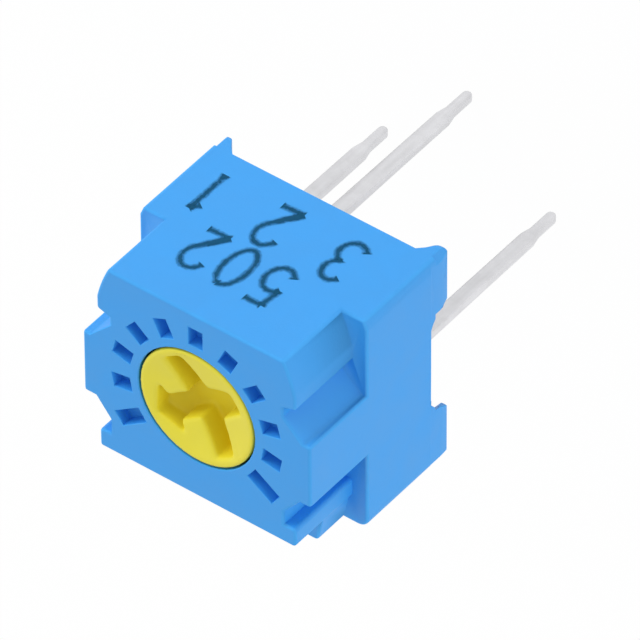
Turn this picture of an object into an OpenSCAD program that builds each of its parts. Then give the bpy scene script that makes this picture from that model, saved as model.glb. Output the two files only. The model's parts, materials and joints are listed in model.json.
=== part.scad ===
// Single-turn trimmer potentiometer, adjusted from the dial face.
// Millimetres. The rotor turns about Z, the dial face looks to +Z, and the
// feet stand on the board at z = 0 with the leads going down through it.
// +Y is the side that carries the printing, and +X is the right-hand side.

/* [Housing] */
// Width across the two sides
body_w = 6.8; // [6.4:0.1:7.6]
// Rotor axis to the printed side
body_up = 3.03; // [2.95:0.01:3.4]
// Rotor axis to the lower side
body_down = 3.72; // [3.5:0.01:4.2]
// Board to the dial face
face_z = 5.53; // [5.46:0.01:6.3]
// Board to the shoulder behind the dial block
shoulder_z = 3.3; // [3.22:0.01:3.37]
// Board to the rear edge of the printed wall and the lower wall
wall_z = 0.52; // [0.36:0.02:0.66]
// Board to the arch between the two feet of a side, at its lower end
arch_z = 0.78; // [0.7:0.01:0.84]
// Board to the same arch at its upper end
arch_up_z = 0.73; // [0.66:0.01:0.84]
// Radius of the lower corners of the rear block
corner_r = 0.3; // [0.1:0.01:0.5]
// Bevel of the upper corners along X
corner_bevel_x = 0.11; // [0.05:0.01:0.3]
// Bevel of the upper corners along Y
corner_bevel_y = 0.28; // [0.1:0.02:0.4]
// Thickness of the wall behind the dial face
face_wall = 1; // [0.8:0.05:1.05]

/* [Dial block] */
// Half width of the flat top of the dial block
top_half = 2.62; // [2.4:0.02:2.8]
// Half width of the dial block below its sloping shoulders
crest_half = 2.97; // [2.9:0.01:3.1]
// Rotor axis to the lower end of the sloping shoulders
crest_low = 2; // [1.9:0.05:2.4]
// Radius of the sloping shoulders
crest_r = 4.9; // [3:0.1:8]
// Rotor axis to the upper lip of the upper notches
crest_y = 1.62; // [1.4:0.02:1.8]
// Height of the oblique lip under the upright sides of the crest
crest_lip = 0.12; // [0.06:0.01:0.2]
// Rotor axis to the upper edge of the full-width band
band_up = 0.65; // [0.5:0.05:0.8]
// Rotor axis to the lower edge of the full-width band
band_down = 1.31; // [1.1:0.03:1.4]
// Rotor axis to the bottom of the side notches
notch_half = 2.6; // [2.55:0.01:2.75]
// Height of the sloping flank of a notch
notch_flank = 0.58; // [0.4:0.02:0.7]
// Length of the square land above the band
land_up = 0.23; // [0.1:0.01:0.35]
// Length of the square land below the band
land_down = 0.34; // [0.1:0.02:0.4]
// Rotor axis to the upper edge of the lower ledge
ledge_y = 2.3; // [2.15:0.05:2.45]
// Half width of the lower ledge
ledge_half = 2.95; // [2.85:0.02:3.1]
// Radius of the upper edges of the lower ledge
ledge_r = 0.12; // [0.05:0.01:0.2]
// Rotor axis to the lower edge of the dial face
ledge_down = 2.84; // [2.7:0.01:3.1]
// Board to the front of the chin under the dial face
chin_z = 4.33; // [3.8:0.01:4.8]
// Half width of the chin at its lower edge
chin_half = 2.67; // [2.4:0.01:2.8]

/* [Feet] */
// Inset of the feet from the sides
foot_inset = 0.06; // [0:0.01:0.15]
// Inset of the lower feet from the lower side
foot_setback = 0.03; // [0:0.01:0.1]
// Width of the flat sole of a foot
foot_w = 0.14; // [0.1:0.01:0.3]
// Bevel of the outer edge of a sole
foot_bevel = 0.05; // [0.02:0.01:0.14]
// Spread of a foot from its sole up to the printed wall
foot_flare = 0.42; // [0.2:0.01:0.5]
// Extra bevel at the outer corners of the upper feet
foot_corner = 0.08; // [0.02:0.01:0.15]
// Rotor axis to the inner end of an upper sole
foot_up_y = 1.33; // [1.1:0.01:1.9]
// Rotor axis to the inner end of a lower sole
foot_down_y = 2.18; // [1.8:0.01:2.5]
// Run of the slope from an upper sole to the height of the arch
foot_up_slope = 0.27; // [0.15:0.01:0.5]
// Run of the slope from a lower sole to the height of the arch
foot_down_slope = 0.49; // [0.3:0.01:0.7]
// Radius of the hollow between a slope and the arch
arch_r = 0.72; // [0.3:0.02:0.8]
// Setback of the inner end of a foot at the pocket wall
foot_nose = 0.7; // [0.3:0.05:0.9]
// Radius of the outer end of an upper foot
foot_end_r = 0.2; // [0.1:0.02:0.34]

/* [Dial marks] */
// Number of recessed marks
mark_count = 11; // [7:1:11]
// Angle between neighbouring marks
mark_step = 25; // [18:1:25]
// Width of a mark
mark_w = 0.42; // [0.3:0.02:0.5]
// Rotor axis to the inner end of the marks
mark_in = 2; // [1.95:0.01:2.1]
// Rotor axis to the outer end of the short marks
mark_out = 2.55; // [2.3:0.05:2.6]
// Rotor axis to the outer end of the first and last mark
mark_end_out = 2.87; // [2.7:0.01:2.9]
// Depth of the marks
mark_depth = 0.35; // [0.2:0.05:0.5]

/* [Rotor] */
// Diameter of the rotor head
rotor_d = 3.4; // [3.2:0.02:3.5]
// Running clearance between the rotor head and its bore
bore_gap = 0.05; // [0.02:0.01:0.09]
// Depth of the rim of the rotor head below the dial face
head_sink = 0.01; // [0:0.01:0.1]
// Radius of the outer edge of the rotor head
head_round = 0.05; // [0.03:0.01:0.09]
// Radius of the dished face of the rotor head
dish_r = 1.58; // [1.5:0.01:1.6]
// Depth of the dish
dish_depth = 0.2; // [0.1:0.01:0.3]
// Radius of the rotor flange
flange_r = 2.1; // [2.06:0.01:2.12]
// Clearance around the rotor flange
flange_gap = 0.1; // [0.06:0.01:0.14]
// Height of the flange skirt below the shoulder of the housing
skirt_drop = 0.64; // [0.58:0.01:0.7]
// Angle of the arrow from +X, with the rotor at rest
arrow_angle = 213; // [200:1:219]
// Depth of the driver recess
slot_depth = 0.8; // [0.5:0.05:1]
// Width of the shaft of the arrow
slot_w = 0.69; // [0.5:0.01:0.8]
// Width of the tail of the arrow at its end
tail_w = 0.56; // [0.4:0.02:0.7]
// Width of the tail where it meets the cross
tail_root_w = 0.83; // [0.7:0.01:0.95]
// Rotor axis to the place where tail and cross meet
tail_root = 0.48; // [0.4:0.02:0.6]
// Length of the cross from tip to tip
cross_l = 2.86; // [2.2:0.02:2.9]
// Rotor axis to the rear corner of a tip of the cross
cross_back = 0.16; // [0.1:0.01:0.3]
// Rotor axis to the front corner of a tip of the cross
cross_front = 0.34; // [0.25:0.01:0.45]
// Rotor axis to the front edge of the cross at the shaft
cross_root = 0.25; // [0.15:0.01:0.35]
// Rotor axis to the tip of the arrow
arrow_tip = 1.48; // [1.3:0.01:1.52]
// Rotor axis to the tail of the arrow
arrow_tail = 1.3; // [1:0.02:1.4]
// Rotor axis to the barbs of the arrowhead
arrow_barb = 1; // [0.95:0.01:1.1]
// Rotor axis to the neck of the arrowhead
arrow_neck = 0.92; // [0.8:0.01:0.94]
// Width of the arrowhead
arrow_w = 1.46; // [1.1:0.02:1.6]

/* [Stop] */
// Radius of the contact chamber in the rear block
chamber_r = 2.48; // [2.44:0.01:2.5]
// Clearance between the lug tip and the chamber wall
lug_gap = 0.08; // [0.05:0.01:0.1]
// Clearance above the stop lug
lug_top_gap = 0.05; // [0.03:0.01:0.08]
// Mechanical travel of the rotor
travel = 260; // [250:1:270]
// Width of the lug on the rotor
lug_angle = 30; // [20:1:36]
// Free angle left between the lug and the rib at each end of the travel
stop_free = 1; // [0.5:0.5:2]

/* [Seal and contact spring] */
// Section diameter of the seal ring
seal_d = 0.36; // [0.3:0.01:0.38]
// Clearance of the seal ring on the head and under the dial wall
seal_gap = 0.015; // [0.01:0.005:0.02]
// Thickness of the spring sheet
spring_t = 0.08; // [0.06:0.01:0.1]
// Width of a contact finger
finger_w = 0.11; // [0.08:0.01:0.12]
// Pitch of neighbouring contact fingers
finger_pitch = 0.15; // [0.14:0.01:0.17]
// Number of fingers on the resistive track
finger_count = 3; // [2:1:3]
// Length of a contact finger along the track
finger_l = 0.85; // [0.7:0.05:1]
// Radius of the rotor post that holds the spring
post_r = 0.3; // [0.24:0.02:0.34]
// Height left between the contact tips and the printed tracks
contact_gap = 0.02; // [0.01:0.01:0.03]

/* [Resistive element] */
// Width of the ceramic substrate along X
substrate_w = 5.44; // [5.3:0.02:5.5]
// Thickness of the substrate
substrate_t = 0.6; // [0.4:0.05:0.65]
// Board to the lower face of the substrate
substrate_z = 1.51; // [1.46:0.01:1.56]
// Thickness of the printed layers
print_t = 0.05; // [0.03:0.01:0.06]
// Mean radius of the resistive track
track_r = 1.85; // [1.8:0.01:1.88]
// Width of the resistive track
track_w = 0.42; // [0.38:0.02:0.46]
// Mean radius of the collector track
collector_r = 0.7; // [0.66:0.02:0.74]
// Width of the collector track
collector_w = 0.4; // [0.34:0.02:0.44]
// Clearance between the substrate and the walls around it
pocket_gap = 0.08; // [0.06:0.01:0.12]
// Rotor axis to the lower edge of the substrate
substrate_down = 2.95; // [2.8:0.05:3.05]

/* [Terminals] */
// Grid pitch of the leads
grid = 2.54; // [2.5:0.01:2.56]
// Rotor axis to the two outer leads, along Y
outer_lead_y = 0.3; // [0.2:0.01:0.5]
// Length of the leads below the board
lead_l = 5.27; // [3:0.01:7]
// Width of a lead
lead_w = 0.4; // [0.3:0.02:0.44]
// Thickness of a lead
lead_t = 0.25; // [0.18:0.01:0.28]
// Length of the narrow tip of a lead
tip_l = 0.78; // [0.4:0.02:1]
// Length of the taper above the narrow tip
taper_l = 0.3; // [0.2:0.05:1]
// Width of the narrow tip
tip_w = 0.26; // [0.2:0.01:0.3]
// Length of the soldered foot of a lead
foot_l = 1.05; // [0.8:0.05:1.2]
// Inner radius of the bend between lead and foot
bend_r = 0.12; // [0.08:0.01:0.15]
// Spread of the solder around a foot
solder_w = 0.14; // [0.08:0.02:0.16]
// Depth of the resin below the printed wall edge
resin_sink = 0.3; // [0.1:0.05:0.35]

/* [Hidden] */

// Smooth circles and arcs
$fn = 72;
arc_steps = 8;
// Overshoot of a cut past the face that it opens, and the play between two fixed pieces
cut = 0.5;
fit = 0.01;

body_half = body_w / 2;
rotor_r = rotor_d / 2;
bore_r = rotor_r + bore_gap;
bore_mouth = bore_gap / 2;
head_z = face_z - head_sink;
dish_curve_r = (dish_r * dish_r + dish_depth * dish_depth) / (2 * dish_depth);
dish_angle = asin(dish_r / dish_curve_r);
dial_under_z = face_z - face_wall;
flange_top_z = dial_under_z - seal_d - seal_gap;
flange_z = shoulder_z - skirt_drop;
bore_wide_r = flange_r + flange_gap;
seal_out_r = rotor_r + seal_gap + seal_d;
seal_bore_r = max(bore_wide_r, seal_out_r + flange_gap);

// Knee in the flare of a foot, as shares of its run and height
flare_run = 0.57;
flare_rise = 0.66;
// Height of the bevel of a sole, as a share of the height of the wall edge
bevel_rise = 0.6;

// Chamber for the contacts, between the substrate and the shoulder
shoulder_wall = 0.2;
chamber_top_z = shoulder_z - shoulder_wall;
print_z = substrate_z + substrate_t;
pocket_z = print_z + print_t;
lug_top_z = chamber_top_z - lug_top_gap;
lug_r = chamber_r - lug_gap;
rib_r = bore_wide_r;
rib_half = (360 - travel - lug_angle) / 2 - stop_free;

// Substrate and the pocket that takes it
substrate_half = substrate_w / 2;
substrate_up = chamber_r + fit;
lead_clear = 4 * fit;
middle_lead_y = grid - outer_lead_y;
pocket_half = max(substrate_half + pocket_gap, grid + lead_w / 2 + lead_clear);
pocket_up = max(substrate_up + pocket_gap / 2, middle_lead_y + lead_t / 2 + lead_clear);
pocket_down = substrate_down + pocket_gap;
pocket_corner = 0.2;
resin_z = wall_z + resin_sink;
under_print_z = substrate_z - print_t;
via_r = 0.2;
via_cap_r = collector_r - collector_w / 2 - fit;

// Track ends and the electrodes that carry them to the sides
track_gap_half = (360 - travel) / 2;
electrode_w = 0.6;
electrode_lap = 0.1;
electrode_up = electrode_lap - track_r * cos(track_gap_half);
electrode_down = electrode_up - electrode_w;

// Leads. An outer foot rests on the substrate with at least foot_lap of its width
lead_foot_z = under_print_z - lead_t;
foot_lap = lead_w * 3 / 4;
foot_reach = max(0, grid - lead_w / 2 - substrate_half + foot_lap);
outer_pad_in = grid - lead_w / 2 - foot_reach - solder_w;
solder_t = lead_t / 2;
solder_z = under_print_z - solder_t;
solder_out = max(substrate_half, grid);

// Spring
spring_z = flange_z - spring_t;
contact_z = pocket_z + contact_gap;
spring_rim = 0.25;
spring_plate_r = track_r - track_w / 2 - spring_rim;
post_lip = 0.1;
post_head_r = post_r + post_lip;
post_head_t = 0.1;
finger_tip = 0.18;
finger_rise = 0.126;
finger_root = 0.22;
window_end = 0.12;

// Points of an arc about c, both ends included
function arc(c, r, from, to) = [
    for (i = [0 : arc_steps])
        let (a = from + (to - from) * i / arc_steps)
        [c[0] + r * cos(a), c[1] + r * sin(a)]
];

// Points of the flat arc from the top of the crest down to its upright side
function crest_arc() =
    let (across = crest_half - top_half,
        down = body_up - crest_low,
        lean = atan(across / down),
        turn = asin(norm([across, down]) / (2 * crest_r)),
        c = [crest_half - crest_r * cos(lean - turn), crest_low - crest_r * sin(lean - turn)])
    arc(c, crest_r, lean + turn, lean - turn);

// Mirror image of a row of points, in reverse order
function mirrored(p) = [for (i = [len(p) - 1 : -1 : 0]) [-p[i][0], p[i][1]]];

// A right-hand outline from top to bottom, closed by its mirror image
function both_sides(p) = concat(p, mirrored(p));

// Points of the hollow from the slope of a lower foot into its arch. The sole ends at y, and the arch is at z
function hollow(y, z, run) =
    let (slope = atan(z / run))
    arc([y + run + arch_r * tan(slope / 2), z - arch_r], arch_r, 90 + slope, 90);

// Plan of the rear block, with its upper corners cut back further by 'extra'
module rear_plan(extra) {
    polygon(both_sides(concat(
        [[body_half - corner_bevel_x - extra, body_up],
         [body_half, body_up - corner_bevel_y - extra]],
        arc([body_half - corner_r, corner_r - body_down], corner_r, 0, -90))));
}

// Side elevation of the rear block, drawn with Y across and Z up
module side_elevation() {
    polygon(concat(
        [[-body_down, shoulder_z],
         [-body_down, arch_z],
         [-body_down + foot_setback, arch_z - foot_setback],
         [-body_down + foot_setback, 0],
         [-foot_down_y, 0]],
        hollow(-foot_down_y, arch_z, foot_down_slope),
        mirrored(hollow(-foot_up_y, arch_up_z, foot_up_slope)),
        [[foot_up_y, 0]],
        arc([body_up - foot_end_r, foot_end_r], foot_end_r, -90, 0),
        [[body_up, shoulder_z]]));
}

// Rear elevation of one end wall and its two feet, drawn with X across and Z up
module end_elevation() {
    sole_out = body_half - foot_inset - foot_bevel;
    sole_in = sole_out - foot_w;
    polygon(both_sides(
        [[body_half, shoulder_z],
         [body_half, arch_z],
         [body_half - foot_inset, arch_z - foot_inset],
         [body_half - foot_inset, wall_z * bevel_rise],
         [sole_out, 0],
         [sole_in, 0],
         [sole_in - foot_flare * flare_run, wall_z * flare_rise],
         [sole_in - foot_flare, wall_z]]));
}

// Plan of the gap between the two feet of the +X side. Its oblique ends narrow the feet towards it
module nose_plan() {
    low = foot_down_slope * wall_z / arch_z - foot_down_y;
    high = foot_up_y - foot_up_slope * wall_z / arch_up_z;
    inner = pocket_half - fit;
    polygon([[body_half, low], [body_half, high], [inner, high + foot_nose], [inner, low - foot_nose]]);
}

// Rear block with its feet: what plan, side and end elevation have in common, less the noses
module rear_block() {
    difference() {
        intersection() {
            union() {
                linear_extrude(shoulder_z) rear_plan(foot_corner);
                translate([0, 0, wall_z]) linear_extrude(shoulder_z - wall_z) rear_plan(0);
            }
            rotate([90, 0, 90])
                linear_extrude(2 * body_w, center = true)
                side_elevation();
            rotate([90, 0, 0])
                linear_extrude(2 * body_w, center = true)
                end_elevation();
        }
        for (side = [0, 1])
            mirror([side, 0, 0])
            translate([0, 0, -cut])
            linear_extrude(wall_z + cut)
            nose_plan();
    }
}

// Outline of the dial face with its side notches
module dial_plan() {
    polygon(both_sides(concat(
        crest_arc(),
        [[crest_half, crest_y],
         [notch_half, crest_y - crest_lip],
         [notch_half, band_up + notch_flank],
         [body_half - land_up, band_up],
         [body_half, band_up],
         [body_half, -band_down],
         [body_half - land_down, -band_down],
         [notch_half, -band_down - notch_flank],
         [notch_half, -ledge_y]],
        arc([ledge_half - ledge_r, -ledge_y - ledge_r], ledge_r, 90, 0),
        [[ledge_half, -ledge_down]])));
}

// Outline of the chin, which joins the ledge to the lower side
module chin_plan() {
    polygon(both_sides(
        [[ledge_half, -ledge_y - ledge_r],
         [chin_half, -body_down]]));
}

// Recessed marks, the first and the last longer than the others
module dial_marks() {
    for (i = [0 : mark_count - 1]) {
        end = i == 0 || i == mark_count - 1;
        out = end ? mark_end_out : mark_out;
        rotate(90 + mark_step * (i - (mark_count - 1) / 2))
            translate([mark_in, -mark_w / 2, face_z - mark_depth])
            cube([out - mark_in, mark_w, mark_depth + cut]);
    }
}

// Sector between two radii, centred on the angle 'at'
module sector(r_in, r_out, at, half, z0, z1) {
    reach = 2 * r_out;
    translate([0, 0, z0])
        linear_extrude(z1 - z0)
        intersection() {
            difference() {
                circle(r_out);
                circle(r_in);
            }
            polygon([[0, 0],
                [reach * cos(at - half), reach * sin(at - half)],
                [reach * cos(at), reach * sin(at)],
                [reach * cos(at + half), reach * sin(at + half)]]);
        }
}

// Rectangle with rounded corners that fills the pocket behind the walls
module pocket_plan() {
    w = 2 * pocket_half;
    d = pocket_up + pocket_down;
    translate([-pocket_half, -pocket_down])
        union() {
            translate([pocket_corner, 0]) square([w - 2 * pocket_corner, d]);
            translate([0, pocket_corner]) square([w, d - 2 * pocket_corner]);
            for (x = [pocket_corner, w - pocket_corner], y = [pocket_corner, d - pocket_corner])
                translate([x, y]) circle(pocket_corner, $fn = 24);
        }
}

// One moulding: dial block, rear block, feet and the stop rib in the chamber
module housing() {
    color([0.31, 0.65, 0.93])
    difference() {
        union() {
            rear_block();
            translate([0, 0, shoulder_z - cut]) linear_extrude(face_z - shoulder_z + cut) dial_plan();
            translate([0, 0, shoulder_z - cut]) linear_extrude(chin_z - shoulder_z + cut) chin_plan();
        }
        translate([0, 0, dial_under_z - cut]) cylinder(r = bore_r, h = face_wall + 2 * cut);
        translate([0, 0, face_z - bore_mouth])
            cylinder(r1 = bore_r, r2 = bore_r + bore_mouth + cut, h = bore_mouth + cut);
        translate([0, 0, chamber_top_z - cut])
            cylinder(r = bore_wide_r, h = dial_under_z - chamber_top_z + cut);
        translate([0, 0, flange_top_z]) cylinder(r = seal_bore_r, h = dial_under_z - flange_top_z);
        difference() {
            translate([0, 0, print_z]) cylinder(r = chamber_r, h = chamber_top_z - print_z);
            sector(rib_r, chamber_r + cut, -90, rib_half, flange_z, chamber_top_z + cut);
        }
        translate([0, 0, -cut]) linear_extrude(pocket_z + cut) pocket_plan();
        dial_marks();
    }
}

// Arrow and cross for a small driver, drawn with the arrow along +X
module driver_plan() {
    side = [[-arrow_tail, tail_w / 2],
        [-tail_root, tail_root_w / 2],
        [-cross_back, cross_l / 2],
        [cross_front, cross_l / 2],
        [cross_root, slot_w / 2],
        [arrow_neck, slot_w / 2],
        [arrow_barb, arrow_w / 2],
        [arrow_tip, 0]];
    polygon(concat(side, [for (i = [len(side) - 2 : -1 : 0]) [side[i][0], -side[i][1]]]));
}

// Rotor: dished and slotted head, flange with the stop lug, and the post for the spring
module rotor() {
    color([0.88, 0.84, 0.3])
    difference() {
        union() {
            rotate_extrude()
                polygon(concat(
                    [[0, flange_z], [flange_r, flange_z], [flange_r, flange_top_z], [rotor_r, flange_top_z]],
                    arc([rotor_r - head_round, head_z - head_round], head_round, 0, 90),
                    arc([0, head_z - dish_depth + dish_curve_r], dish_curve_r, dish_angle - 90, -90)));
            sector(rotor_r, lug_r, arrow_angle, lug_angle / 2, flange_z, lug_top_z);
            translate([0, 0, spring_z - post_head_t]) cylinder(r = post_r, h = post_head_t + spring_t + cut);
            translate([0, 0, spring_z - post_head_t]) cylinder(r = post_head_r, h = post_head_t);
        }
        translate([0, 0, head_z - slot_depth])
            linear_extrude(slot_depth + cut)
            rotate(arrow_angle)
            driver_plan();
    }
}

// Rubber ring on the flange, under the dial wall
module rotor_seal() {
    color([0.15, 0.15, 0.16])
    translate([0, 0, flange_top_z + seal_d / 2])
        rotate_extrude()
        translate([rotor_r + seal_gap + seal_d / 2, 0])
        circle(seal_d / 2, $fn = 24);
}

// Side view of a sprung finger, from its root down to a turned-up tip
module finger_profile() {
    drop = spring_z - contact_z;
    polygon([[0, 0], [finger_root, 0], [finger_l, -drop], [finger_l + finger_tip, -drop + finger_rise],
        [finger_l + finger_tip, -drop + finger_rise + spring_t], [finger_l, -drop + spring_t],
        [finger_root, spring_t], [0, spring_t]]);
}

// Fingers side by side, centred on a track of radius r
module fingers(r, count) {
    for (i = [0 : count - 1])
        translate([r + finger_pitch * (i - (count - 1) / 2) - finger_w / 2, finger_l, spring_z])
            rotate([90, 0, 90])
            linear_extrude(finger_w)
            mirror([1, 0])
            finger_profile();
}

// Contact spring that bridges the two tracks
module wiper() {
    color([0.85, 0.68, 0.35])
    rotate(arrow_angle) {
        translate([0, 0, spring_z])
            linear_extrude(spring_t)
            difference() {
                union() {
                    circle(spring_plate_r);
                    translate([0, finger_l - finger_root])
                        square([track_r + finger_pitch + finger_w / 2, finger_root]);
                }
                circle(post_r + fit);
                // Window that frees the fingers of the collector
                translate([-collector_r - finger_pitch, -finger_tip - window_end])
                    square([2 * finger_pitch, finger_l - finger_root + finger_tip + window_end]);
            }
        fingers(track_r, finger_count);
        fingers(-collector_r, 2);
    }
}

// Ceramic plate that closes the chamber
module substrate() {
    color([0.93, 0.92, 0.88])
    difference() {
        translate([-substrate_half, -substrate_down, substrate_z])
            cube([substrate_w, substrate_down + substrate_up, substrate_t]);
        translate([0, 0, substrate_z - cut]) cylinder(r = via_r + fit, h = substrate_t + 2 * cut);
    }
}

// Horseshoe of the resistive print
module resistive_track() {
    color([0.2, 0.19, 0.18])
    difference() {
        translate([0, 0, print_z]) cylinder(r = track_r + track_w / 2, h = print_t);
        translate([0, 0, print_z - cut]) cylinder(r = track_r - track_w / 2, h = print_t + 2 * cut);
        sector(fit, track_r + track_w, -90, track_gap_half, print_z - cut, pocket_z + cut);
    }
}

// Ring print that the inner fingers run on
module collector_track() {
    color([0.78, 0.78, 0.76])
    translate([0, 0, print_z])
        linear_extrude(print_t)
        difference() {
            circle(collector_r + collector_w / 2);
            circle(collector_r - collector_w / 2);
        }
}

// Filled hole and the print below it, from the collector to the middle lead
module centre_electrode() {
    color([0.78, 0.78, 0.76]) {
        translate([0, 0, under_print_z]) cylinder(r = via_r, h = pocket_z - under_print_z);
        translate([0, 0, print_z]) cylinder(r = via_cap_r, h = print_t);
        translate([-lead_w / 2 - solder_w, -via_r, under_print_z])
            cube([lead_w + 2 * solder_w, via_r + substrate_up, print_t]);
    }
}

// Print from a track end over the edge of the substrate to the lead below, on the +X side
module end_print() {
    inner_r = track_r - track_w / 2;
    outer_r = track_r + track_w / 2;
    start = [sin(track_gap_half), -cos(track_gap_half)];
    translate([0, 0, print_z])
        linear_extrude(print_t)
        polygon([inner_r * start, [inner_r * start[0], electrode_down],
            [substrate_half, electrode_down], [substrate_half, electrode_up], outer_r * start]);
    translate([substrate_half, electrode_down, under_print_z])
        cube([print_t, electrode_w, pocket_z - under_print_z]);
    translate([outer_pad_in, electrode_down, under_print_z])
        cube([substrate_half - outer_pad_in, lead_t - outer_lead_y - electrode_down, print_t]);
}

module end_electrode_1() {
    color([0.78, 0.78, 0.76]) mirror([1, 0, 0]) end_print();
}

module end_electrode_3() {
    color([0.78, 0.78, 0.76]) end_print();
}

// Side view of a lead bent at a right angle into its foot, drawn with Y across and Z up
module lead_side() {
    bend_y = -lead_t / 2 - bend_r;
    bend_z = lead_foot_z - bend_r;
    translate([-lead_t / 2, -lead_l]) square([lead_t, lead_l + bend_z]);
    translate([lead_t / 2 - foot_l, lead_foot_z]) square([foot_l - lead_t - bend_r, lead_t]);
    intersection() {
        translate([bend_y, bend_z])
            difference() {
                circle(bend_r + lead_t);
                circle(bend_r);
            }
        translate([bend_y, bend_z]) square(bend_r + lead_t);
    }
}

// Front view of a lead with its necked tip, drawn with X across and Z up. The foot is wider by the reach
module lead_front(reach) {
    if (reach > 0)
        translate([-lead_w / 2 - reach, lead_foot_z]) square([lead_w + reach, lead_t]);
    polygon(both_sides(concat(
        [[lead_w / 2, under_print_z],
         [lead_w / 2, tip_l + taper_l - lead_l],
         [tip_w / 2, tip_l - lead_l]],
        arc([0, tip_w / 2 - lead_l], tip_w / 2, 0, -80))));
}

// Lead at its place on the board, with the foot running towards -Y
module lead(x, y, reach) {
    color([0.8, 0.8, 0.81])
    translate([x, y, 0])
        intersection() {
            rotate([90, 0, 90]) linear_extrude(2 * (lead_w + reach), center = true) lead_side();
            rotate([90, 0, 0]) linear_extrude(2 * foot_l, center = true) lead_front(reach);
        }
}

module terminal_1() { mirror([1, 0, 0]) terminal_3(); }

module terminal_2() { lead(0, middle_lead_y, 0); }

module terminal_3() { lead(grid, -outer_lead_y, foot_reach); }

// Solder bank around the foot of a lead, kept inside the pocket walls
module solder(x, y, reach) {
    color([0.66, 0.67, 0.68])
    difference() {
        intersection() {
            translate([x - lead_w / 2 - reach - solder_w, y + lead_t / 2 - foot_l - solder_w / 2, solder_z])
                cube([lead_w + reach + 2 * solder_w, foot_l + solder_w, solder_t]);
            translate([-solder_out, -substrate_down, 0])
                cube([2 * solder_out, substrate_down + substrate_up, substrate_z]);
        }
        lead(x, y, reach);
    }
}

module solder_joint_1() { mirror([1, 0, 0]) solder_joint_3(); }

module solder_joint_2() { solder(0, middle_lead_y, 0); }

module solder_joint_3() { solder(grid, -outer_lead_y, foot_reach); }

// Resin that seals the pocket around the feet of the leads
module potting() {
    color([0.2, 0.42, 0.62])
    difference() {
        translate([0, 0, resin_z]) linear_extrude(substrate_z - resin_z) pocket_plan();
        centre_electrode();
        end_electrode_1();
        end_electrode_3();
        terminal_1();
        terminal_2();
        terminal_3();
        solder_joint_1();
        solder_joint_2();
        solder_joint_3();
    }
}

housing();
rotor();
rotor_seal();
wiper();
substrate();
resistive_track();
collector_track();
centre_electrode();
end_electrode_1();
end_electrode_3();
terminal_1();
terminal_2();
terminal_3();
solder_joint_1();
solder_joint_2();
solder_joint_3();
potting();
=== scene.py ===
import json
import math

import bmesh
import bpy
from mathutils import Matrix, Vector

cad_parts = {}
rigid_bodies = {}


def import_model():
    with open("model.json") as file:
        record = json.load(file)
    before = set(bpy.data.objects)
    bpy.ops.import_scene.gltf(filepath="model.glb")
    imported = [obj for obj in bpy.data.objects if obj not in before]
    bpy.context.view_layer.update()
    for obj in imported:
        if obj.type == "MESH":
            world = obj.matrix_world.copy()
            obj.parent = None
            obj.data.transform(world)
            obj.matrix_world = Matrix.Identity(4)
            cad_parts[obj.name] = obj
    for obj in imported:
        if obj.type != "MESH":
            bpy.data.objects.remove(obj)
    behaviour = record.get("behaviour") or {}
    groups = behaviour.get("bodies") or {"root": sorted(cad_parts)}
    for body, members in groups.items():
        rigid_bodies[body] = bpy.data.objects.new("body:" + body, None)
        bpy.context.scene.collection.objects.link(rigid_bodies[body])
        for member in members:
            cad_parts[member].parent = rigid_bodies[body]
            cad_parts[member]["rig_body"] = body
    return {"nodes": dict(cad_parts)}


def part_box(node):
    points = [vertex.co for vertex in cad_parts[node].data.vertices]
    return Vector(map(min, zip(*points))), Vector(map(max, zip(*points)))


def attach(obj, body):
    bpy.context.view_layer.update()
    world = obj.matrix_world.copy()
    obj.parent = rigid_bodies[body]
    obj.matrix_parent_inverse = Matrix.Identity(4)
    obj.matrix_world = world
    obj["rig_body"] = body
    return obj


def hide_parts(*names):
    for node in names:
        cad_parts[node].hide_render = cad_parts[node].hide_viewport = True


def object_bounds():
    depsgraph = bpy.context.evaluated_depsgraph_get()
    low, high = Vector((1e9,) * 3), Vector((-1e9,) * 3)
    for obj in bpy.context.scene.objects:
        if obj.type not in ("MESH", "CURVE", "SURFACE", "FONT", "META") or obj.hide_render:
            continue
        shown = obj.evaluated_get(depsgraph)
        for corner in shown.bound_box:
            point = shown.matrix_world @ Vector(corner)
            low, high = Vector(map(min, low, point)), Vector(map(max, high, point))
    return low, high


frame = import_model()
CAD_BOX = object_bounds()
MM = 0.001

# Camera, fitted to the straight edges of the body in the photograph
CAMERA_PLACE = Vector((136.75, 209.86, 178.45)) * MM
CAMERA_RIGHT = Vector((0.79506, -0.00433, -0.60652))
CAMERA_UP = Vector((-0.41267, 0.72898, -0.54616))
CAMERA_LENS = 722.8
CAMERA_SENSOR = 36
CAMERA_CLIP = (0.01, 10)

# Merging of a CAD node's triangles into flat faces
MERGE_REACH = 0.0005
FLAT_ANGLE = math.radians(0.4)
SHARP_ANGLE = math.radians(40)

# Roundings, in millimetres, and the shares of the full one that small forms get
HOUSING_ROUND = 0.08
LEAD_ROUND = 0.05
ROUND_SEGMENTS = 3
ROUND_FROM_ANGLE = math.radians(24)
MARK_SHARE = 0.35
FOOT_SHARE = 0.3

# Dial, marks and feet, in millimetres from the board and from the rotor axis
FACE_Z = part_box("housing")[1].z / MM
PRINT_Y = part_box("housing")[1].y / MM
MARK_DEPTH = 0.35
MARK_RING = 2.9
BORE_RIM = 1.9
FOOT_TOP_Z = 0.9
FOOT_IN_X = 2.85
FOOT_IN_Y = 2.65

# Rooms inside the housing, from the pieces that fill them
MARGIN = 0.02
CHAMBER_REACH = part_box("substrate")[1].y / MM + MARGIN
CHAMBER_TOP_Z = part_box("rotor_seal")[1].z / MM + MARGIN
POCKET_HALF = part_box("potting")[1].x / MM + MARGIN
POCKET_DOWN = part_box("potting")[0].y / MM - MARGIN
POCKET_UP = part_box("potting")[1].y / MM + MARGIN
POCKET_TOP_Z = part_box("collector_track")[1].z / MM + MARGIN

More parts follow.
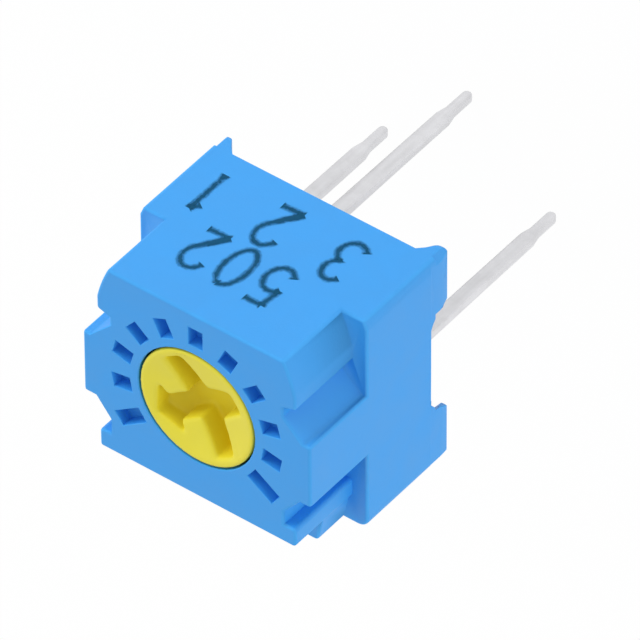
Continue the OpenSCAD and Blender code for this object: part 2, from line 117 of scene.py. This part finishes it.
# Stop rib, whose underside lies level with the top of the contact spring
STOP_RIB_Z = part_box("wiper")[1].z / MM
STOP_RIB_REACH = 2.25
STOP_RIB_LIFT = 0.02
SAME_HEIGHT = 0.005

# Rotor head: its even mesh, its dish, and how long its edges and its recess are softened
ROTOR_GRID = 0.036
HEAD_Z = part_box("rotor")[1].z / MM
SOFTEN_STEP = 0.5
HEAD_SOFTEN = 3
DISH_RADIUS = 1.58
DISH_DEPTH = 0.2
DISH_CURVE = (DISH_RADIUS ** 2 + DISH_DEPTH ** 2) / (2 * DISH_DEPTH)
RECESS_SOFTEN = 34
RECESS_REACH = 1.56
RECESS_RIM = 0.1
RECESS_DEPTH = 0.8
RECESS_LOW_Z = HEAD_Z - 1.2

# Arrow head, whose floor rises towards its tip, and the arms of the cross, which are squared
ARROW_TURN = math.radians(213)
ARROW_ROOT = 0.7
ARROW_RUN = 0.75
ARROW_LIFT = 0.4
ARM_ROOT = 0.38
ARM_RUN = 1.05
ARM_SHIFT = 0.124
ARM_SLANT = 0.1
ARM_FADE = 0.3

# Numbers, in millimetres: digits, the middle of each along X, and the low and high end in Z
NUMBER_ROWS = [
    ("502", (0.80, -0.23, -1.25), 2.91, 4.31),
    ("321", (1.65, -0.35, -2.35), 1.21, 2.66),
]
DIGIT_WIDTH = 0.66
INK_WIDTH = 0.26
INK_PROUD = 0.004
INK_ROUND_STEPS = 5
INK_END_SWELL = 1.2
INK_CORE_GAIN = 1.25

# Patterns: scales of noise on places in metres, and how much each swings a finish
FLOW_SCALE = 900.0
FLOW_GLOSS = 0.25
# Share of the second colour, a painted highlight on edges and painted shade in recesses: its level,
# and how much duller it leaves the surface
SHEEN_AND_SHADE_LEVEL = 0.85
SHEEN_AND_SHADE_DULL = 0.3
LINE_SCALE = 4500.0
SPOT_SCALE = 2600.0
SPOT_WEIGHT = 0.7
METAL_GLOSS = 0.35
INK_GRAIN_SCALE = 14000.0
INK_PATCH_SCALE = 3500.0
INK_SWING = 0.7
COVER_STEP = (0.66, 1.02)
VEIL_STEP = (0.04, 0.66)
RELIEF_STRENGTH = 0.6
MICRON = 0.000001

# Stage: levels of white, sizes in metres and power in watts
WORLD_LEVEL = 0.63
FLOOR_SIZE = 2.0
FLOOR_DROP = 0.02 * MM
FLOOR_WHITE = 0.95
FLOOR_ROUGHNESS = 0.9
FLOOR_GLOW = 0.975
LAMPS = [
    ("key", (-0.25, 0.35, 0.12), 0.3, 0.2, 0.98),
    ("side", (0.42, 0.0, 0.07), 0.3, 0.12, 0.52),
    ("fill", (-0.35, -0.2, 0.3), 0.3, 0.3, 0.5),
]


def deselect_all():
    """Leaves nothing selected, and no object in edit mode."""
    if bpy.context.object and bpy.context.object.mode != "OBJECT":
        bpy.ops.object.mode_set(mode="OBJECT")
    bpy.ops.object.select_all(action="DESELECT")


def make_active(piece):
    deselect_all()
    piece.select_set(True)
    bpy.context.view_layer.objects.active = piece


def apply_modifiers(piece):
    make_active(piece)
    for modifier in list(piece.modifiers):
        bpy.ops.object.modifier_apply(modifier=modifier.name)


# Camera


def add_camera():
    back = CAMERA_RIGHT.cross(CAMERA_UP).normalized()
    turn = Matrix((CAMERA_RIGHT, CAMERA_UP, back)).transposed()
    lens = bpy.data.cameras.new("photo_camera")
    lens.lens = CAMERA_LENS
    lens.sensor_width = CAMERA_SENSOR
    lens.clip_start, lens.clip_end = CAMERA_CLIP
    camera = bpy.data.objects.new("photo_camera", lens)
    camera.matrix_world = Matrix.Translation(CAMERA_PLACE) @ turn.to_4x4()
    bpy.context.scene.collection.objects.link(camera)
    bpy.context.scene.camera = camera


# Shader groups


FLOAT, COLOUR, VECTOR = "NodeSocketFloat", "NodeSocketColor", "NodeSocketVector"
WHITE = (1, 1, 1, 1)


def new_group(name, inputs, outputs):
    """An empty shader group with named sockets, and its input and output nodes."""
    group = bpy.data.node_groups.new(name, "ShaderNodeTree")
    for label, kind, value in inputs:
        socket = group.interface.new_socket(name=label, in_out="INPUT", socket_type=kind)
        socket.default_value = value
    for label, kind in outputs:
        group.interface.new_socket(name=label, in_out="OUTPUT", socket_type=kind)
    return group, group.nodes.new("NodeGroupInput"), group.nodes.new("NodeGroupOutput")


def add_node(nodes, kind, **values):
    node = nodes.new(kind)
    for name, value in values.items():
        setattr(node, name, value)
    return node


def add_noise(group, place, scale, detail, distortion=0.0):
    """A noise texture whose scale is a number or a socket. Returns its value output."""
    noise = group.nodes.new("ShaderNodeTexNoise")
    noise.inputs["Detail"].default_value = detail
    noise.inputs["Distortion"].default_value = distortion
    group.links.new(place, noise.inputs["Vector"])
    if isinstance(scale, float):
        noise.inputs["Scale"].default_value = scale
    else:
        group.links.new(scale, noise.inputs["Scale"])
    return noise.outputs["Fac"]


def add_math(group, operation, *terms, clamp=False):
    """A math node fed by numbers or sockets. Returns its output."""
    node = add_node(group.nodes, "ShaderNodeMath", operation=operation, use_clamp=clamp)
    for socket, term in zip(node.inputs, terms):
        if isinstance(term, (int, float)):
            socket.default_value = term
        else:
            group.links.new(term, socket)
    return node.outputs[0]


def centred_noise(group, place, scale, detail, distortion=0.0):
    """Noise that swings around zero."""
    return add_math(group, "SUBTRACT", add_noise(group, place, scale, detail, distortion), 0.5)


def scale_colour(group, colour, factor):
    node = add_node(group.nodes, "ShaderNodeVectorMath", operation="SCALE")
    group.links.new(colour, node.inputs[0])
    group.links.new(factor, node.inputs["Scale"])
    return node.outputs[0]


def build_mould_skin():
    """Fine grain and faint flow mottling, with a second colour that paints a highlight on rounded
    edges and paints shade in deep places.
    """
    group, source, result = new_group(
        "mould_skin",
        [("Colour", COLOUR, WHITE), ("Sheen And Shade Colour", COLOUR, WHITE), ("Share", FLOAT, 0.0),
         ("Share Swing", FLOAT, 1.0), ("Mottle", FLOAT, 0.08), ("Roughness", FLOAT, 0.45),
         ("Grain Scale", FLOAT, 30000.0)],
        [("Colour", COLOUR), ("Roughness", FLOAT), ("Height", FLOAT)])
    place = group.nodes.new("ShaderNodeTexCoord").outputs["Object"]
    flow = centred_noise(group, place, FLOW_SCALE, detail=4.0, distortion=0.5)
    grain = add_noise(group, place, source.outputs["Grain Scale"], detail=4.0)
    # The share mixes in the second colour: a painted highlight on the housing's rounded edges, and
    # painted shade in the rotor's recess
    patch = add_math(group, "MULTIPLY_ADD", flow, source.outputs["Share Swing"], SHEEN_AND_SHADE_LEVEL)
    share = add_math(group, "MULTIPLY", source.outputs["Share"], patch, clamp=True)
    blend = add_node(group.nodes, "ShaderNodeMix", data_type="RGBA")
    group.links.new(share, blend.inputs["Factor"])
    group.links.new(source.outputs["Colour"], blend.inputs["A"])
    group.links.new(source.outputs["Sheen And Shade Colour"], blend.inputs["B"])
    swing = add_math(group, "MULTIPLY_ADD", flow, source.outputs["Mottle"], 1.0)
    tint = scale_colour(group, blend.outputs["Result"], swing)
    gloss = add_math(group, "MULTIPLY_ADD", flow, FLOW_GLOSS, source.outputs["Roughness"])
    gloss = add_math(group, "MULTIPLY_ADD", share, SHEEN_AND_SHADE_DULL, gloss, clamp=True)
    group.links.new(tint, result.inputs["Colour"])
    group.links.new(gloss, result.inputs["Roughness"])
    group.links.new(grain, result.inputs["Height"])
    return group


def build_drawn_metal():
    """Lengthwise drawing lines and dull spots of tinned strip, with painted shade on its turned edges.
    """
    group, source, result = new_group(
        "drawn_metal",
        [("Colour", COLOUR, WHITE), ("Share", FLOAT, 0.0), ("Edge Dark", FLOAT, 0.04),
         ("Roughness", FLOAT, 0.35), ("Line Depth", FLOAT, 0.3), ("Stretch", VECTOR, (1, 1, 0.04))],
        [("Colour", COLOUR), ("Roughness", FLOAT), ("Height", FLOAT)])
    place = group.nodes.new("ShaderNodeTexCoord").outputs["Object"]
    along = add_node(group.nodes, "ShaderNodeVectorMath", operation="MULTIPLY")
    group.links.new(place, along.inputs[0])
    group.links.new(source.outputs["Stretch"], along.inputs[1])
    lines = centred_noise(group, along.outputs[0], LINE_SCALE, detail=2.5)
    spots = centred_noise(group, place, SPOT_SCALE, detail=3.0, distortion=0.4)
    both = add_math(group, "MULTIPLY_ADD", spots, SPOT_WEIGHT, lines)
    swing = add_math(group, "MULTIPLY_ADD", both, source.outputs["Line Depth"], 1.0)
    # Painted shade: the rounded edges are darkened by Edge Dark
    shade = add_math(group, "MULTIPLY", source.outputs["Share"], source.outputs["Edge Dark"])
    level = add_math(group, "SUBTRACT", swing, shade)
    tint = scale_colour(group, source.outputs["Colour"], level)
    gloss = add_math(group, "MULTIPLY_ADD", both, METAL_GLOSS, source.outputs["Roughness"])
    group.links.new(tint, result.inputs["Colour"])
    group.links.new(gloss, result.inputs["Roughness"])
    group.links.new(lines, result.inputs["Height"])
    return group


def build_stamped_ink():
    """Ink with a dense, uneven core along each stroke and a thin grainy veil beside it."""
    group, source, result = new_group(
        "stamped_ink",
        [("Core", FLOAT, 1.0), ("Cover", FLOAT, 0.46), ("Veil", FLOAT, 0.38)],
        [("Alpha", FLOAT), ("Colour Shift", FLOAT)])
    place = group.nodes.new("ShaderNodeTexCoord").outputs["Object"]
    fine = centred_noise(group, place, INK_GRAIN_SCALE, detail=3.0)
    patchy = centred_noise(group, place, INK_PATCH_SCALE, detail=3.0)
    body = add_math(group, "MULTIPLY_ADD", fine, INK_SWING, source.outputs["Core"])
    body = add_math(group, "MULTIPLY_ADD", patchy, INK_SWING, body)
    layers = []
    for (low, high), share in ((COVER_STEP, "Cover"), (VEIL_STEP, "Veil")):
        step = add_node(group.nodes, "ShaderNodeMapRange", interpolation_type="SMOOTHSTEP")
        step.inputs["From Min"].default_value = low
        step.inputs["From Max"].default_value = high
        group.links.new(body, step.inputs["Value"])
        layers.append(add_math(group, "MULTIPLY", step.outputs[0], source.outputs[share]))
    group.links.new(add_math(group, "ADD", *layers, clamp=True), result.inputs["Alpha"])
    group.links.new(patchy, result.inputs["Colour Shift"])
    return group


MOULD_SKIN = build_mould_skin()
DRAWN_METAL = build_drawn_metal()
STAMPED_INK = build_stamped_ink()


# Materials


def new_material(name, group, relief, share_name):
    """A material whose principled shader takes colour, roughness and relief from a group."""
    material = bpy.data.materials.new(name)
    material.use_nodes = True
    nodes, links = material.node_tree.nodes, material.node_tree.links
    shader = nodes["Principled BSDF"]
    skin = add_node(nodes, "ShaderNodeGroup", node_tree=group)
    share = add_node(nodes, "ShaderNodeAttribute", attribute_name=share_name)
    links.new(share.outputs["Fac"], skin.inputs["Share"])
    bump = nodes.new("ShaderNodeBump")
    bump.inputs["Strength"].default_value = RELIEF_STRENGTH
    bump.inputs["Distance"].default_value = relief
    links.new(skin.outputs["Colour"], shader.inputs["Base Color"])
    links.new(skin.outputs["Roughness"], shader.inputs["Roughness"])
    links.new(skin.outputs["Height"], bump.inputs["Height"])
    links.new(bump.outputs["Normal"], shader.inputs["Normal"])
    return material, skin


def moulded(name, colour, sheen_and_shade_colour, roughness, mottle, grain_scale, relief,
            share_name="edge_turn", share_swing=1.6):
    """Moulded plastic, rubber, resin or ceramic, with its relief in metres."""
    material, skin = new_material(name, MOULD_SKIN, relief, share_name)
    skin.inputs["Colour"].default_value = (*colour, 1)
    skin.inputs["Sheen And Shade Colour"].default_value = (*sheen_and_shade_colour, 1)
    skin.inputs["Share Swing"].default_value = share_swing
    skin.inputs["Roughness"].default_value = roughness
    skin.inputs["Mottle"].default_value = mottle
    skin.inputs["Grain Scale"].default_value = grain_scale
    return material


def metal(name, colour, roughness, line_depth, stretch, relief):
    """Drawn, pressed or fired metal, with its lines along one direction."""
    material, skin = new_material(name, DRAWN_METAL, relief, "edge_turn")
    skin.inputs["Colour"].default_value = (*colour, 1)
    skin.inputs["Roughness"].default_value = roughness
    skin.inputs["Line Depth"].default_value = line_depth
    skin.inputs["Stretch"].default_value = stretch
    material.node_tree.nodes["Principled BSDF"].inputs["Metallic"].default_value = 1.0
    return material


def stamped_ink():
    """Dark ink of the numbers on the printed side."""
    material = bpy.data.materials.new("number_ink")
    material.use_nodes = True
    nodes, links = material.node_tree.nodes, material.node_tree.links
    shader = nodes["Principled BSDF"]
    ink = add_node(nodes, "ShaderNodeGroup", node_tree=STAMPED_INK)
    core = add_node(nodes, "ShaderNodeAttribute", attribute_name="ink_core")
    tone = add_node(nodes, "ShaderNodeMix", data_type="RGBA")
    tone.inputs["A"].default_value = (0.004, 0.085, 0.18, 1)
    tone.inputs["B"].default_value = (0.001, 0.035, 0.08, 1)
    links.new(core.outputs["Fac"], ink.inputs["Core"])
    links.new(ink.outputs["Colour Shift"], tone.inputs["Factor"])
    links.new(tone.outputs["Result"], shader.inputs["Base Color"])
    links.new(ink.outputs["Alpha"], shader.inputs["Alpha"])
    shader.inputs["Roughness"].default_value = 0.6
    shader.inputs["Specular IOR Level"].default_value = 0.15
    return material


def dress(node, material):
    """Gives a CAD node a better material."""
    mesh = frame["nodes"][node].data
    mesh.materials.clear()
    mesh.materials.append(material)


# Shaped copies of the CAD nodes


def merged_copy(node, name):
    """A copy of a CAD node in millimetres, with its loose triangles joined into flat faces."""
    source = frame["nodes"][node]
    piece = bpy.data.objects.new(name, source.data.copy())
    bpy.context.scene.collection.objects.link(piece)
    piece.data.transform(Matrix.Scale(1 / MM, 4))
    piece.data.materials.clear()
    make_active(piece)
    bpy.ops.object.mode_set(mode="EDIT")
    bpy.ops.mesh.select_all(action="SELECT")
    bpy.ops.mesh.remove_doubles(threshold=MERGE_REACH)
    bpy.ops.mesh.dissolve_limited(angle_limit=FLAT_ANGLE)
    bpy.ops.object.mode_set(mode="OBJECT")
    return piece


def housing_round(place, angle):
    """Share of the full rounding that an outward edge of the housing gets, by its place."""
    radius = math.hypot(place.x, place.y)
    in_chamber = radius < CHAMBER_REACH and place.z < CHAMBER_TOP_Z
    if angle < ROUND_FROM_ANGLE or radius < BORE_RIM or in_chamber:
        return 0.0
    if place.z > FACE_Z - MARK_DEPTH - MARGIN and radius < MARK_RING:
        return MARK_SHARE
    if place.z < FOOT_TOP_Z:
        return FOOT_SHARE if abs(place.x) > FOOT_IN_X or abs(place.y) > FOOT_IN_Y else 0.0
    in_pocket = (abs(place.x) < POCKET_HALF and POCKET_DOWN < place.y < POCKET_UP
                 and place.z < POCKET_TOP_Z)
    return 0.0 if in_pocket else 1.0


def lead_round(place, angle):
    """The full rounding for the long edges of a lead, as far up as they are seen."""
    return 1.0 if angle > ROUND_FROM_ANGLE and place.z < FOOT_TOP_Z else 0.0


def round_edges(piece, share_at, width):
    """Bevels the edges by their share, and gives the new faces the second material slot."""
    form = bmesh.new()
    form.from_mesh(piece.data)
    weight = form.edges.layers.float.new("bevel_weight_edge")
    for edge in form.edges:
        if len(edge.link_faces) == 2:
            middle = (edge.verts[0].co + edge.verts[1].co) / 2
            edge[weight] = share_at(middle, edge.calc_face_angle_signed(0.0))
    form.to_mesh(piece.data)
    form.free()
    piece.data.materials.append(None)
    piece.data.materials.append(None)
    bevel = piece.modifiers.new("rounding", "BEVEL")
    bevel.limit_method = "WEIGHT"
    bevel.width = width
    bevel.segments = ROUND_SEGMENTS
    bevel.use_clamp_overlap = False
    bevel.material = 1
    apply_modifiers(piece)


def mark_turned_edges(piece):
    """Stores 1 on the outward roundings as an attribute, and 0 elsewhere."""
    form = bmesh.new()
    form.from_mesh(piece.data)
    # The housing's material paints a highlight where this is 1, and the leads' material paints shade
    # there.
    turn = form.verts.layers.float.new("edge_turn")
    for point in form.verts:
        if all(face.material_index == 1 for face in point.link_faces):
            rise = sum((edge.other_vert(point).co - point.co).normalized().dot(point.normal)
                       for edge in point.link_edges)
            point[turn] = 1.0 if rise < 0 else 0.0
    for face in form.faces:
        face.material_index = 0
    form.to_mesh(piece.data)
    form.free()
    piece.data.materials.clear()


def smooth_flats(piece):
    """Keeps the flat faces flat in the shading, and the roundings smooth."""
    make_active(piece)
    bpy.ops.object.shade_smooth_by_angle(angle=SHARP_ANGLE)
    flats = piece.modifiers.new("flat_faces", "WEIGHTED_NORMAL")
    flats.keep_sharp = True
    apply_modifiers(piece)


def round_piece(piece, share_at, width):
    round_edges(piece, share_at, width)
    mark_turned_edges(piece)
    smooth_flats(piece)


def finish_copy(piece, node, material):
    """Puts a shaped copy in the place of its CAD node."""
    piece.data.transform(Matrix.Scale(MM, 4))
    piece.data.materials.append(material)
    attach(piece, frame["nodes"][node]["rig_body"])
    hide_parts(node)


def ease_stop_rib(piece):
    """Lifts the underside of the stop rib a little, so that the contact spring passes below it."""
    for point in piece.data.vertices:
        radius = math.hypot(point.co.x, point.co.y)
        if abs(point.co.z - STOP_RIB_Z) < SAME_HEIGHT and radius < STOP_RIB_REACH:
            point.co.z += STOP_RIB_LIFT


def add_housing(material):
    """The housing with the small roundings of a moulding."""
    piece = merged_copy("housing", "housing_moulding")
    ease_stop_rib(piece)
    round_piece(piece, housing_round, HOUSING_ROUND)
    finish_copy(piece, "housing", material)


def add_lead(number, material):
    """A lead with the rounded edges of plated strip."""
    node = "terminal_%d" % number
    piece = merged_copy(node, "lead_%d" % number)
    round_piece(piece, lead_round, LEAD_ROUND)
    finish_copy(piece, node, material)


def dish_height(radius):
    return HEAD_Z - DISH_DEPTH + DISH_CURVE - math.sqrt(DISH_CURVE ** 2 - radius ** 2)


def shape_recess(piece):
    """Squares the arms of the cross, and lets the arrow head run out softly towards its tip."""
    along_way = Vector((math.cos(ARROW_TURN), math.sin(ARROW_TURN)))
    across_way = Vector((-along_way.y, along_way.x))
    for point in piece.data.vertices:
        flat = Vector((point.co.x, point.co.y))
        if point.co.z < RECESS_LOW_Z or flat.length > RECESS_REACH:
            continue
        along, across = flat.dot(along_way), abs(flat.dot(across_way))
        if along > ARROW_ROOT:
            lift = ARROW_LIFT * min((along - ARROW_ROOT) / ARROW_RUN, 1.0)
            point.co.z += lift * max(dish_height(flat.length) - point.co.z, 0.0)
        elif across > ARM_ROOT:
            reach = min((across - ARM_ROOT) / ARM_RUN, 1.0)
            fade = min(max((ARROW_ROOT - abs(along)) / ARM_FADE, 0.0), 1.0)
            shift = (ARM_SHIFT - ARM_SLANT * along) * reach * fade
            point.co.x -= shift * along_way.x
            point.co.y -= shift * along_way.y


def mark_recess(piece):
    """Groups the points of the driver recess, and stores how deep each one lies."""
    recess = piece.vertex_groups.new(name="recess")
    depths = []
    for point in piece.data.vertices:
        radius = math.hypot(point.co.x, point.co.y)
        depth = 0.0
        if point.co.z > RECESS_LOW_Z and radius < RECESS_REACH:
            recess.add([point.index], min((RECESS_REACH - radius) / RECESS_RIM, 1.0), "REPLACE")
            depth = min(max((dish_height(radius) - point.co.z) / RECESS_DEPTH, 0.0), 1.0)
        depths.append(depth)
    # The depth sets the share of painted shade in the rotor's colour.
    attribute = piece.data.attributes.new("recess_depth", "FLOAT", "POINT")
    attribute.data.foreach_set("value", depths)


def soften(piece, name, turns, group=""):
    """Smooths a whole piece, or one group of its points."""
    modifier = piece.modifiers.new(name, "SMOOTH")
    modifier.factor = SOFTEN_STEP
    modifier.iterations = turns
    modifier.vertex_group = group


def add_rotor(material):
    """The rotor with the soft edges of a small moulding, on an even mesh."""
    piece = merged_copy("rotor", "rotor_moulding")
    skin = piece.modifiers.new("even_skin", "REMESH")
    skin.mode = "VOXEL"
    skin.voxel_size = ROTOR_GRID
    apply_modifiers(piece)
    shape_recess(piece)
    mark_recess(piece)
    soften(piece, "soft_edges", HEAD_SOFTEN)
    soften(piece, "soft_recess", RECESS_SOFTEN, "recess")
    apply_modifiers(piece)
    bpy.ops.object.shade_smooth()
    finish_copy(piece, "rotor", material)


# Numbers on the printed side


def bow(centre, size, start, end, steps=16):
    """Points of an elliptic arc, in shares of a digit's width and height."""
    turns = [math.radians(start + (end - start) * i / steps) for i in range(steps + 1)]
    return [(centre[0] + size[0] * math.cos(a), centre[1] + size[1] * math.sin(a)) for a in turns]


def straight(start, end, steps=7):
    """Points of a straight stroke, in the same shares."""
    shares = [i / steps for i in range(steps + 1)]
    return [tuple(a + (b - a) * share for a, b in zip(start, end)) for share in shares]


TWO_FOOT = (0.04, 0.0)
DIGIT_STROKES = {
    "0": [bow((0.5, 0.5), (0.5, 0.5), 80, 440, 30)],
    "1": [straight((0.3, 0.83), (0.56, 1.0), 4), straight((0.56, 1.0), (0.56, 0.0))],
    "2": [bow((0.5, 0.72), (0.48, 0.28), 165, -38) + [TWO_FOOT], straight(TWO_FOOT, (1.0, 0.02))],
    "3": [bow((0.48, 0.755), (0.44, 0.245), 150, -88, 14)
          + bow((0.48, 0.26), (0.5, 0.26), 82, -150, 16)],
    "5": [straight((0.92, 1.0), (0.16, 1.0)), straight((0.16, 1.0), (0.08, 0.53), 5),
          bow((0.47, 0.32), (0.5, 0.32), 140, -150)],
}


def add_number(digit, middle_x, low_z, high_z):
    """A digit as round strokes of ink. It reads from +Y, so its right is -X."""
    height = high_z - low_z
    curve = bpy.data.curves.new("stroke", "CURVE")
    curve.dimensions = "3D"
    curve.bevel_depth = INK_WIDTH / 2
    curve.bevel_resolution = INK_ROUND_STEPS
    curve.use_fill_caps = True
    for points in DIGIT_STROKES[digit]:
        spline = curve.splines.new("POLY")
        spline.points.add(len(points) - 1)
        for point, (across, up) in zip(spline.points, points):
            point.co = (middle_x + DIGIT_WIDTH * (0.5 - across), 0.0, low_z + height * up, 1)
        for end in (spline.points[0], spline.points[-1]):
            end.radius = INK_END_SWELL
    stroke = bpy.data.objects.new("digit_" + digit, curve)
    bpy.context.scene.collection.objects.link(stroke)
    make_active(stroke)
    bpy.ops.object.convert(target="MESH")
    return bpy.context.object


def flatten_ink(numbers):
    """Presses the strokes onto the printed side, and stores how near each point is to their middle."""
    core = numbers.data.attributes.new("ink_core", "FLOAT", "POINT")
    for point in numbers.data.vertices:
        depth = point.co.y / (INK_WIDTH / 2)
        rim = math.sqrt(max(1.0 - depth ** 2, 0.0))
        core.data[point.index].value = INK_CORE_GAIN * (1.0 - rim)
        point.co.y = PRINT_Y + INK_PROUD * depth


def add_numbers(material):
    """All the numbers as one thin layer of ink on the printed side."""
    strokes = [add_number(digit, x, low, high)
               for digits, places, low, high in NUMBER_ROWS for digit, x in zip(digits, places)]
    make_active(strokes[0])
    for stroke in strokes[1:]:
        stroke.select_set(True)
    bpy.ops.object.join()
    numbers = bpy.context.object
    numbers.name = "printed_numbers"
    flatten_ink(numbers)
    numbers.data.transform(Matrix.Scale(MM, 4))
    numbers.data.materials.clear()
    numbers.data.materials.append(material)
    make_active(numbers)
    bpy.ops.object.shade_smooth()
    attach(numbers, "case")


add_camera()

# The housing's second colour, lighter than the plastic, is a painted highlight on its rounded edges.
housing_plastic = moulded(
    "housing_plastic", (0.039, 0.335, 0.82), (0.06, 0.39, 0.88),
    roughness=0.5, mottle=0.1, grain_scale=22000.0, relief=4 * MICRON)
# The rotor's second colour, darker and more orange, is painted shade that deepens with the depth of
# the recess.
rotor_plastic = moulded(
    "rotor_plastic", (0.775, 0.69, 0.035), (0.82, 0.63, 0.0),
    roughness=0.45, mottle=0.1, grain_scale=22000.0, relief=4 * MICRON,
    share_name="recess_depth", share_swing=0.4)
seal_rubber = moulded(
    "seal_rubber", (0.03, 0.03, 0.032), (0.05, 0.05, 0.05),
    roughness=0.6, mottle=0.1, grain_scale=30000.0, relief=5 * MICRON)
alumina = moulded(
    "alumina", (0.82, 0.81, 0.77), (0.85, 0.84, 0.8),
    roughness=0.55, mottle=0.05, grain_scale=40000.0, relief=4 * MICRON)
cermet = moulded(
    "cermet", (0.05, 0.048, 0.045), (0.08, 0.08, 0.08),
    roughness=0.35, mottle=0.2, grain_scale=30000.0, relief=4 * MICRON)
resin = moulded(
    "resin", (0.05, 0.2, 0.42), (0.07, 0.25, 0.5),
    roughness=0.25, mottle=0.25, grain_scale=2500.0, relief=30 * MICRON)

lead_metal = metal(
    "lead_metal", (0.73, 0.73, 0.75),
    roughness=0.36, line_depth=0.42, stretch=(1, 1, 0.06), relief=3 * MICRON)
contact_metal = metal(
    "contact_metal", (0.78, 0.6, 0.3),
    roughness=0.25, line_depth=0.25, stretch=(0.1, 1, 1), relief=3 * MICRON)
silver_print = metal(
    "silver_print", (0.7, 0.7, 0.68),
    roughness=0.5, line_depth=0.2, stretch=(1, 1, 1), relief=5 * MICRON)
solder_metal = metal(
    "solder", (0.6, 0.61, 0.62),
    roughness=0.3, line_depth=0.25, stretch=(1, 1, 1), relief=6 * MICRON)

add_housing(housing_plastic)
for number in (1, 2, 3):
    add_lead(number, lead_metal)
add_rotor(rotor_plastic)
add_numbers(stamped_ink())

dress("rotor_seal", seal_rubber)
dress("wiper", contact_metal)
dress("substrate", alumina)
dress("resistive_track", cermet)
for node in ("collector_track", "centre_electrode", "end_electrode_1", "end_electrode_3"):
    dress(node, silver_print)
for number in (1, 2, 3):
    dress("solder_joint_%d" % number, solder_metal)
dress("potting", resin)


# Stage


def looked_at(tree):
    """1 for what the camera sees, directly or in a reflection, and 0 for all other light."""
    path = tree.nodes.new("ShaderNodeLightPath")
    return add_math(tree, "MAXIMUM", path.outputs["Is Camera Ray"], path.outputs["Is Glossy Ray"])


def add_floor():
    """A white floor that keeps the shadow of the part, and is clear when seen from below."""
    deselect_all()
    bpy.ops.mesh.primitive_plane_add(size=FLOOR_SIZE, location=(0, 0, CAD_BOX[0].z - FLOOR_DROP))
    floor = bpy.context.object
    floor.name = "floor"
    material = bpy.data.materials.new("floor_white")
    material.use_nodes = True
    nodes, links = material.node_tree.nodes, material.node_tree.links
    shader = nodes["Principled BSDF"]
    shader.inputs["Base Color"].default_value = (FLOOR_WHITE, FLOOR_WHITE, FLOOR_WHITE, 1)
    shader.inputs["Roughness"].default_value = FLOOR_ROUGHNESS
    glow = add_math(material.node_tree, "MULTIPLY", looked_at(material.node_tree), FLOOR_GLOW)
    white = nodes.new("ShaderNodeEmission")
    white.inputs["Strength"].default_value = 1.0
    white.inputs["Color"].default_value = WHITE
    blend = nodes.new("ShaderNodeMixShader")
    links.new(glow, blend.inputs[0])
    links.new(shader.outputs[0], blend.inputs[1])
    links.new(white.outputs[0], blend.inputs[2])
    below = nodes.new("ShaderNodeMixShader")
    links.new(nodes.new("ShaderNodeNewGeometry").outputs["Backfacing"], below.inputs[0])
    links.new(blend.outputs[0], below.inputs[1])
    links.new(nodes.new("ShaderNodeBsdfTransparent").outputs[0], below.inputs[2])
    links.new(below.outputs[0], nodes["Material Output"].inputs["Surface"])
    floor.data.materials.append(material)


def add_world():
    """Soft white light from all sides, which shows as plain white behind the part."""
    world = bpy.data.worlds.new("studio_white")
    bpy.context.scene.world = world
    world.use_nodes = True
    nodes, links = world.node_tree.nodes, world.node_tree.links
    background = nodes["Background"]
    background.inputs["Color"].default_value = WHITE
    strength = nodes.new("ShaderNodeMapRange")
    strength.inputs["To Min"].default_value = WORLD_LEVEL
    strength.inputs["To Max"].default_value = 1.0
    links.new(looked_at(world.node_tree), strength.inputs["Value"])
    links.new(strength.outputs[0], background.inputs["Strength"])


def add_area_light(name, place, width, height, watts):
    """A lamp that points at the part and doesn't show in its reflections."""
    light = bpy.data.lights.new(name, "AREA")
    light.shape = "RECTANGLE"
    light.size = width
    light.size_y = height
    light.energy = watts
    lamp = bpy.data.objects.new(name, light)
    lamp.location = place
    lamp.rotation_euler = (-Vector(place)).to_track_quat("-Z", "Y").to_euler()
    lamp.visible_glossy = False
    bpy.context.scene.collection.objects.link(lamp)


bpy.context.scene.view_settings.view_transform = "Standard"
add_floor()
add_world()
for name, place, width, height, watts in LAMPS:
    add_area_light(name, place, width, height, watts)
